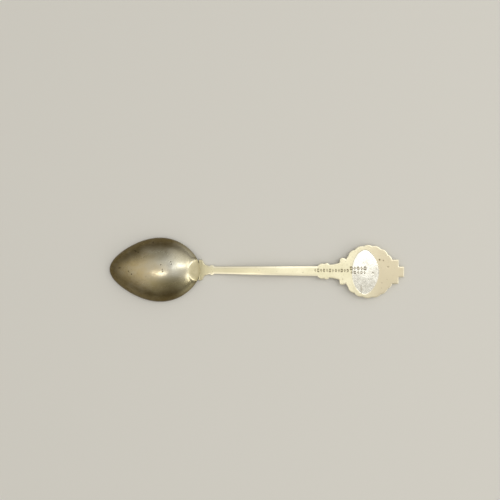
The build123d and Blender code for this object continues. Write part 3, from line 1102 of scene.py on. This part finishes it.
def leaves(x, y, distance):
    """Pairs of veined leaves below the disc."""
    height = np.zeros(len(x))
    for leaf in range(LEAF_COUNT):
        for side in (1, -1):
            from_x = x - LEAF_X - LEAF_STEP * leaf
            from_y = side * (y - side * LEAF_Y)
            along = from_x * math.cos(LEAF_ANGLE) + from_y * math.sin(LEAF_ANGLE)
            over = -from_x * math.sin(LEAF_ANGLE) + from_y * math.cos(LEAF_ANGLE)
            half_width = LEAF_HALF_WIDTH * bump(along - LEAF_MIDDLE, LEAF_HALF_LENGTH)
            blade = LEAF_HEIGHT * bump(over, np.maximum(half_width, 0.01))
            vein = 1 - VEIN_DEPTH * bump(over, VEIN_HALF_WIDTH)
            shown = (half_width > 0) & (distance > LEAF_INSET)
            height = highest(height, blade * vein * shown)
    return height


def finial_relief(x, y, distance):
    """Everything that stands up on the finial's front but the bezel and the ribbon."""
    rim = rays_and_rim(x, y, distance)
    bars = crown_bars(x, distance)
    return highest(rim, pearls(x, y), bars, ear_beads(x, y), leaves(x, y, distance))


def stem_relief(x, y, distance):
    """Two raised rails and a beaded rib between them."""
    along = ease(*RIB_STARTS, x) * (1 - ease(*RIB_ENDS, x))
    beads = RIB_NECK + (1 - RIB_NECK) * np.abs(np.cos(math.pi * x / RIB_BEAD_STEP))
    rib = ridge(y, RIB_RIDGE) * beads
    return highest(rib, ridge(distance, RAIL_RIDGE)) * along


def shoulder_relief(x, y, distance):
    """Flutes that fan out from the stem's foot."""
    turn = np.arctan2(y, FLUTE_FAN_X - x)
    shown = ease(*FLUTES_END, x) * ease(*FLUTES_START, x) * ease(*FLUTE_INSET, distance)
    return FLUTE_HEIGHT * (1 + np.cos(FLUTE_COUNT * turn)) * shown


def front_relief(x, y, distance):
    """Height of the whole relief, with the bezel, the ribbon and the seat sunk for the badge."""
    finial = np.where(x > FINIAL_RELIEF_X, finial_relief(x, y, distance), 0)
    knop = highest(*(ridge(x, bead) for bead in KNOP_BEADS))
    height = highest(finial, knop, stem_relief(x, y, distance), shoulder_relief(x, y, distance))
    bezel = 1 - ease(*BEZEL_EDGE, seat_share(x, y, BEZEL_WIDTH))
    height = np.maximum(height * (1 - bezel), BEZEL_HEIGHT * bezel)
    ribbon = ribbon_distance(x, y)
    on_ribbon = 1 - ease(RIBBON_HALF_WIDTH - RIBBON_EDGE, RIBBON_HALF_WIDTH, ribbon)
    border = RIBBON_HALF_WIDTH - RIBBON_BORDER
    recess = 1 - ease(border - RIBBON_EDGE / 2, border + RIBBON_EDGE / 2, ribbon)
    height = height * (1 - on_ribbon) + RIBBON_HEIGHT * on_ribbon - RIBBON_DEPTH * recess
    seat = 1 - ease(*SEAT_EDGE, seat_share(x, y))
    return height * (1 - seat) - (SEAT_TOP - FINIAL_FRONT) * seat


# ---- handle


def seat_loops():
    """Loops that the front's mesh follows: both sides of the seat's edge and of the bezel's."""
    seat = np.array(SEAT)
    bezel = seat + BEZEL_WIDTH
    sizes = (seat * SEAT_OUTER_LOOP, seat, bezel, bezel * BEZEL_EDGE[0])
    return [ellipse(BADGE_X, size) for size in sizes]


def back_side(outline):
    """The handle's back: corners, triangles, rim and painted values."""
    points = np.vstack([edge_rows(outline, BACK_ROWS), grid_over(outline, BACK_BOXES, BACK_GAP)])
    flat, triangles, rim = triangulate(outline, points, [dish_loop(1.0), dish_loop(DISH_FLOOR_SHARE)])
    x, y = flat.T
    distance = edge_distance(flat, outline)
    share = dish_share(x, y)
    in_dish = 1 - ease(DISH_FLOOR_SHARE, 1.0, share)
    dish = (DISH_EDGE + DISH_HOLLOW * (1 - share.clip(0, 1) ** 2)) * in_dish
    punches = punched(x, y)
    worn = wear(x, y)
    height = handle_back(x) - bevel(x, distance) - dish - PUNCH_DEPTH * punches - WEAR_DEPTH * worn
    height += WOBBLE_DEPTH * wobble(x, y, WOBBLE_LENGTH)
    cavity = np.maximum(punches, worn)
    values = {"cavity": cavity, "dish": in_dish, "edge": painted_edge_highlight(x, distance)}
    return np.column_stack([flat, height]), triangles, rim, values


def front_side(outline):
    """The handle's front: corners, triangles, rim and painted values."""
    points = np.vstack([edge_rows(outline, FRONT_ROWS), grid_over(outline, FRONT_BOXES, FRONT_GAP)])
    flat, triangles, rim = triangulate(outline, points, seat_loops())
    x, y = flat.T
    distance = edge_distance(flat, outline)
    relief = front_relief(x, y, distance)
    height = handle_front(x) + rounding(distance, FRONT_EDGE_RADIUS) - relief
    height = np.maximum(height, LOWEST_FRONT)
    sunk = (1 - ease(*SUNK_RELIEF, relief)) * ease(*SUNK_INSET, distance)
    values = {"sunk": sunk, "edge": painted_edge_highlight(x, distance)}
    return np.column_stack([flat, height]), triangles, rim, values


def build_handle():
    """The handle's back and front, joined round the outline."""
    outline = handle_outline()
    back, back_faces, back_rim, back_values = back_side(outline)
    front, front_faces, front_rim, front_values = front_side(outline)
    faces = back_faces.tolist() + (front_faces[:, ::-1] + len(back)).tolist()
    faces += strip(back_rim, front_rim + len(back))
    corners = np.vstack([back, front])
    values = {label: np.zeros(len(corners)) for label in ("cavity", "sunk", "dish", "edge")}
    for label, numbers in back_values.items():
        values[label][: len(back)] = numbers
    for label, numbers in front_values.items():
        values[label][len(back) :] = numbers
    make_piece("handle_struck", corners, faces, nickel(), values, "handle")


# ---- badge

RESIN_RINGS, RESIN_CLOSENESS = 40, 1.3
RESIN_RIM_POINTS = 240
RESIN_CROWN = 0.65


def build_dome():
    """A thin lens of resin that crowns over the picture."""
    low, high = (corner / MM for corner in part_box("badge_dome"))
    points = disc_points(RESIN_RINGS, RESIN_CLOSENESS)
    disc, triangles, rim = triangulate(circle(turns(RESIN_RIM_POINTS)), points)
    share = np.clip(np.hypot(*disc.T), 0, 1)
    x = (low.x + high.x) / 2 + disc[:, 0] * (high.x - low.x) / 2
    y = (low.y + high.y) / 2 + disc[:, 1] * (high.y - low.y) / 2
    rise = (1 - RESIN_CROWN * share**2) * (1 - share**12) ** 0.5
    crown = np.column_stack([x, y, high.z - (high.z - low.z) * rise])
    base = np.column_stack([x, y, np.full(len(x), high.z)])
    merged = np.arange(2 * len(x))
    merged[rim + len(x)] = rim
    faces = np.vstack([triangles[:, ::-1], merged[triangles + len(x)]]).tolist()
    make_piece("resin_dome", np.vstack([crown, base]), faces, resin(), {}, "badge_dome")


def dress(node, material):
    """Gives a CAD node that shows as it is its material."""
    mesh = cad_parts[node].data
    mesh.materials.clear()
    mesh.materials.append(material)


def build_badge():
    """The dome, and materials for the pieces that show as CAD made them."""
    build_dome()
    solder = solder_metal()
    dress("bowl_braze", solder)
    dress("badge_solder", solder)
    dress("badge_plate", gilt())
    for node, *look in ENAMELS:
        dress(node, enamel(*look))


BACK_CURVE = stem_heights(1)
FRONT_CURVE = stem_heights(-1)
build_bowl()
build_handle()
build_badge()


# ---- stage, lights and camera

CAMERA_HEIGHT = 0.30
CAMERA_PLACE = (-0.00253, 0.0080, CAMERA_HEIGHT)
CAMERA_ROLL = math.radians(0.5)
FOCUS_HEIGHT = 0.002
FIELD_WIDTH = 0.1949
SENSOR_WIDTH = 36
FLOOR_SIZE = 8
FLOOR_GAP = 0.00003
FLOOR_COLOUR = (0.78, 0.775, 0.76, 1)
FLOOR_ROUGHNESS = 0.75

# Studio light: its colour at the horizon, overhead and as a backdrop
HORIZON = (0.21, 0.195, 0.165)
OVERHEAD = (0.72, 0.70, 0.65)
BACKDROP = (0.66, 0.655, 0.64)

# Broad glows and dark cards as (direction, reach in degrees, colour)
GLOWS = (
    ((0.70, 0.75, 0.80), 34, (0.47, 0.46, 0.41)),
    ((0.42, 0.30, 1), 20, (0.25, 0.25, 0.22)),
    ((-0.12, 0.40, 1), 15, (0.10, 0.16, 0.24)),
    ((1, 0.0, 0.30), 34, (0.80, 0.76, 0.64)),
)
CARDS = (
    ((0.15, -0.62, 0.78), 32, (0.34, 0.31, 0.24)),
    ((-0.15, 0.66, 0.75), 28, (0.38, 0.365, 0.31)),
)

# Soft panels as (name, place, target, size, power, colour), placed where the spoon mirrors them
# towards the camera
WHITE, WARM, AMBER = (1, 1, 1), (1, 0.96, 0.86), (1, 0.93, 0.80)
PANELS = (
    ("window", (0.340, 0.155, 0.60), (0.02, 0, 0), (0.22, 0.13), 0.25, WHITE),
    ("panel", (0.135, 0.092, 0.60), (0.04, 0, 0), (0.08, 0.20), 0.085, WHITE),
    ("lamp", (-0.105, -0.097, 0.60), (-0.02, 0, 0), (0.15, 0.045), 0.13, AMBER),
    ("fill", (0.010, 0.052, 0.60), (-0.01, 0, 0), (0.16, 0.07), 0.013, WHITE),
    ("low_left", (0.72, 0.22, 0.50), (-0.025, 0, 0), (0.18, 0.28), 0.48, WARM),
    ("low_right", (0.72, -0.40, 0.50), (-0.025, 0, 0), (0.18, 0.48), 0.83, WARM),
)


def build_stage():
    """A plain pale floor."""
    bpy.ops.mesh.primitive_plane_add(size=FLOOR_SIZE, location=(0, 0, -FLOOR_GAP))
    floor = bpy.context.object
    floor.name = "floor"
    n = Nodes(bpy.data.materials.new("pale_floor"))
    n.set(Base_Color=FLOOR_COLOUR, Roughness=FLOOR_ROUGHNESS)
    floor.data.materials.append(n.owner)


def build_world():
    """A plain studio: soft light overhead, with broad glows and cards that fade into it."""
    n = Nodes(bpy.data.worlds.new("studio"), "Generated")
    height = n.add("ShaderNodeSeparateXYZ", {"Vector": n.place}).outputs["Z"]
    light = n.ramp(height, (0.0, HORIZON), (1.0, OVERHEAD), smooth=True)
    for blend, areas in (("ADD", GLOWS), ("MIX", CARDS)):
        for direction, reach, colour in areas:
            middle = Vector(direction).normalized()
            aim = n.add("ShaderNodeVectorMath", {0: n.place, 1: middle}, operation="DOT_PRODUCT")
            span = {"Value": aim.outputs["Value"], "From Min": math.cos(math.radians(reach))}
            share = n.add("ShaderNodeMapRange", span, interpolation_type="SMOOTHSTEP").outputs[0]
            light = n.mix(share, light, colour, blend)
    seen = n.add("ShaderNodeLightPath").outputs["Is Camera Ray"]
    light = n.mix(seen, light, BACKDROP)
    n.put(light, n.tree.nodes["Background"].inputs["Color"])
    bpy.context.scene.world = n.owner
    bpy.context.scene.view_settings.view_transform = "Standard"


def area_light(name, place, target, size, power, colour):
    """A soft rectangular light at place that faces target, with its width along the spoon."""
    data = bpy.data.lights.new(name, "AREA")
    data.shape = "RECTANGLE"
    data.size, data.size_y = size
    data.energy = power
    data.color = colour
    light = bpy.data.objects.new(name, data)
    bpy.context.scene.collection.objects.link(light)
    away = (Vector(place) - Vector(target)).normalized()
    across = (Vector((1, 0, 0)) - away * away.x).normalized()
    turn = Matrix((across, away.cross(across), away)).transposed()
    light.matrix_world = Matrix.Translation(place) @ turn.to_4x4()


def build_camera():
    """A camera straight above the spoon, turned a little as the photograph is."""
    data = bpy.data.cameras.new("camera")
    data.sensor_width = SENSOR_WIDTH
    data.lens = data.sensor_width * (CAMERA_HEIGHT - FOCUS_HEIGHT) / FIELD_WIDTH
    data.clip_start = 0.01
    camera = bpy.data.objects.new("camera", data)
    bpy.context.scene.collection.objects.link(camera)
    camera.location = CAMERA_PLACE
    camera.rotation_euler = (0, 0, CAMERA_ROLL)
    bpy.context.scene.camera = camera


build_stage()
build_world()
for panel in PANELS:
    area_light(*panel)
build_camera()
